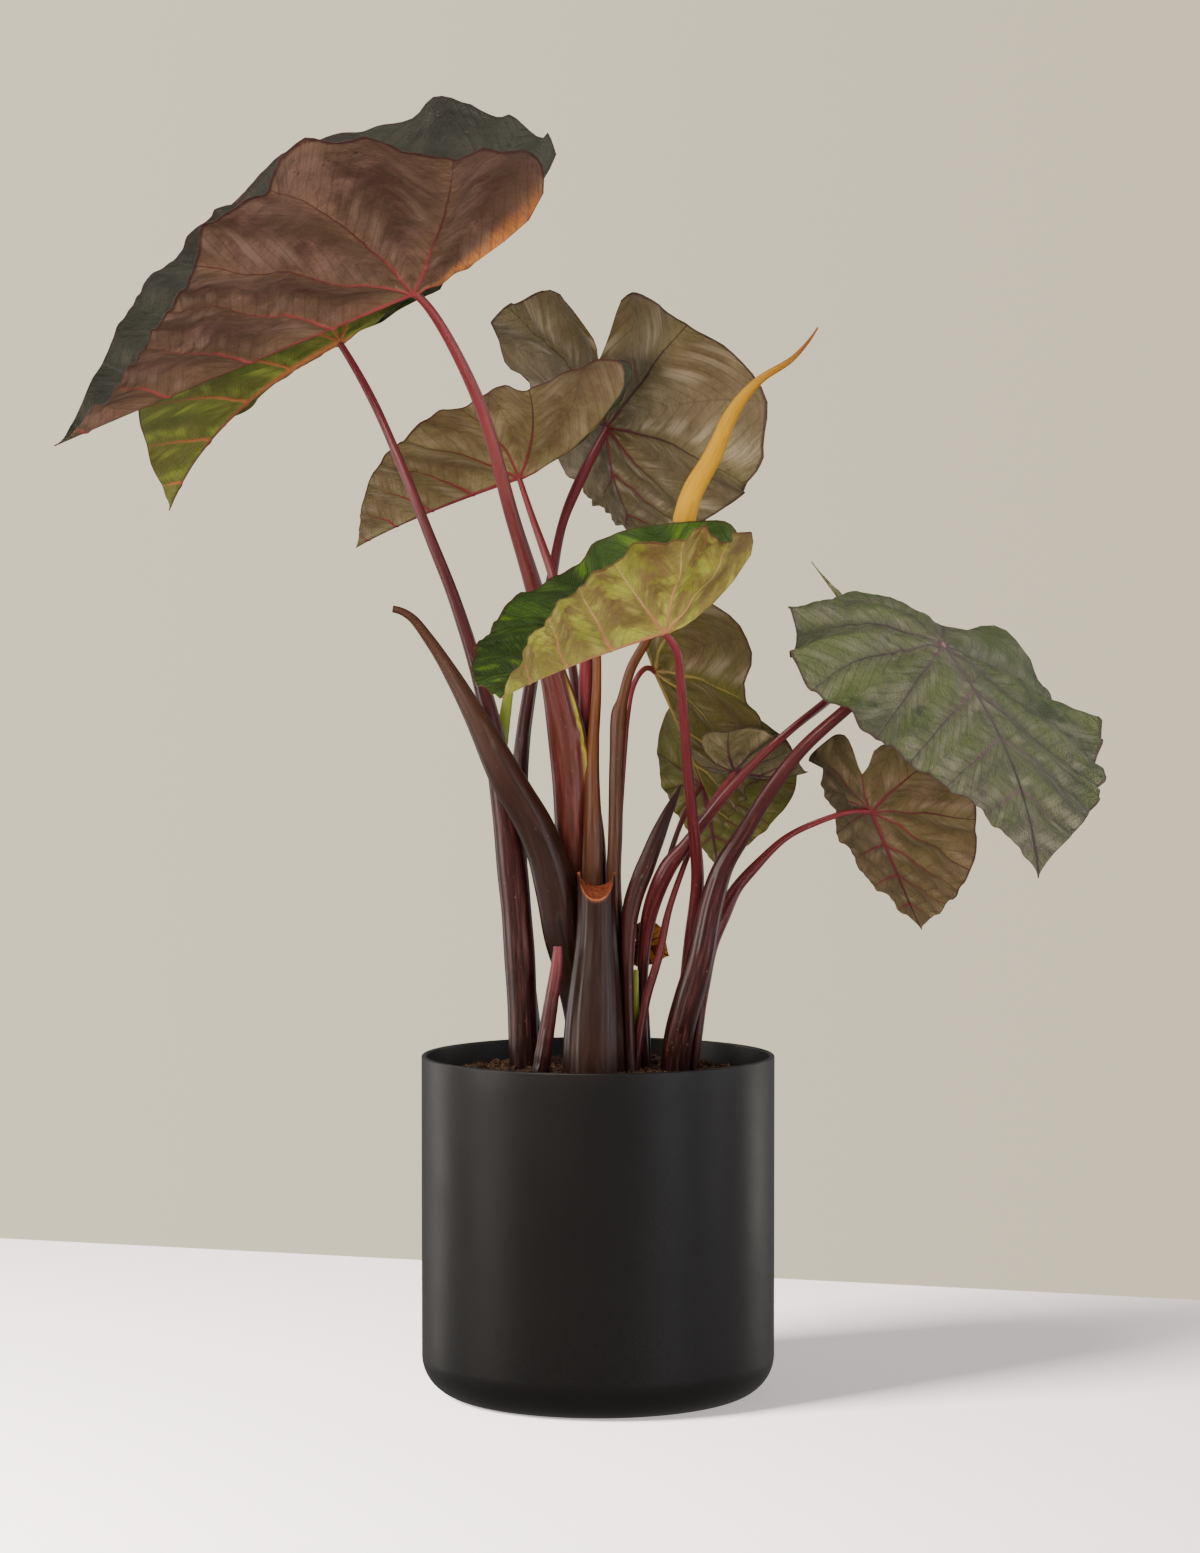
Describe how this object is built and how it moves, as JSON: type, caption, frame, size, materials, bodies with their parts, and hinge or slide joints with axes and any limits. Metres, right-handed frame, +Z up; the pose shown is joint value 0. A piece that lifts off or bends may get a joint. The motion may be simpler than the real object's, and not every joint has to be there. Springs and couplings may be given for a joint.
{
  "type": "potted elephant ear plant",
  "caption": "Leafy elephant ear in a round straight-sided pot: arching wine-red stalks carry quilted heart-shaped leaves above bark soil, for standing on a floor.",
  "frame": {"origin": "centre of the pot's flat base, on the floor", "axes": "+Z up from the floor through the soil's middle; -Y towards the plant's front, where the cut stub stands; -X towards the tall group of leaves"},
  "size_m": [0.7289, 0.61, 0.9137],
  "materials": {
    "pot_black": "satin",
    "soil": "matte",
    "leaf_brown": "satin",
    "leaf_olive": "satin",
    "leaf_lime": "satin",
    "leaf_green": "satin",
    "fresh_green": "satin",
    "stalk_wine": "satin",
    "stalk_dark": "satin",
    "bark_brown": "satin",
    "spathe_yellow": "satin"
  },
  "bodies": {
    "root": {"pot": "pot_black", "soil": "soil", "leaf_upper_left": "leaf_brown", "stalk_upper_left": "stalk_wine", "leaf_far_left": "leaf_olive", "stalk_far_left": "stalk_wine", "leaf_middle_left": "leaf_olive", "stalk_middle_left": "stalk_wine", "leaf_back": "leaf_olive", "stalk_back": "stalk_wine", "leaf_front": "leaf_lime", "stalk_front": "stalk_wine", "leaf_hanging": "leaf_olive", "stalk_hanging": "stalk_wine", "leaf_low_back": "leaf_olive", "stalk_low_back": "stalk_wine", "leaf_low_small": "leaf_brown", "stalk_low_small": "stalk_wine", "leaf_low_right": "leaf_brown", "stalk_low_right": "stalk_wine", "leaf_right": "leaf_green", "stalk_right": "stalk_wine", "leaf_young": "fresh_green", "stalk_young": "stalk_wine", "leaf_seedling": "bark_brown", "stalk_seedling": "stalk_wine", "spathe_stalk": "bark_brown", "spathe": "spathe_yellow", "centre_stalk": "bark_brown", "inner_red_stalk": "stalk_wine", "trimmed_stalk": "stalk_dark", "small_shoot": "stalk_wine", "dry_sheath": "stalk_dark", "cut_stub": "stalk_dark", "sheath_strip_left": "fresh_green", "sheath_strip_right": "fresh_green"}
  },
  "joints": []
}
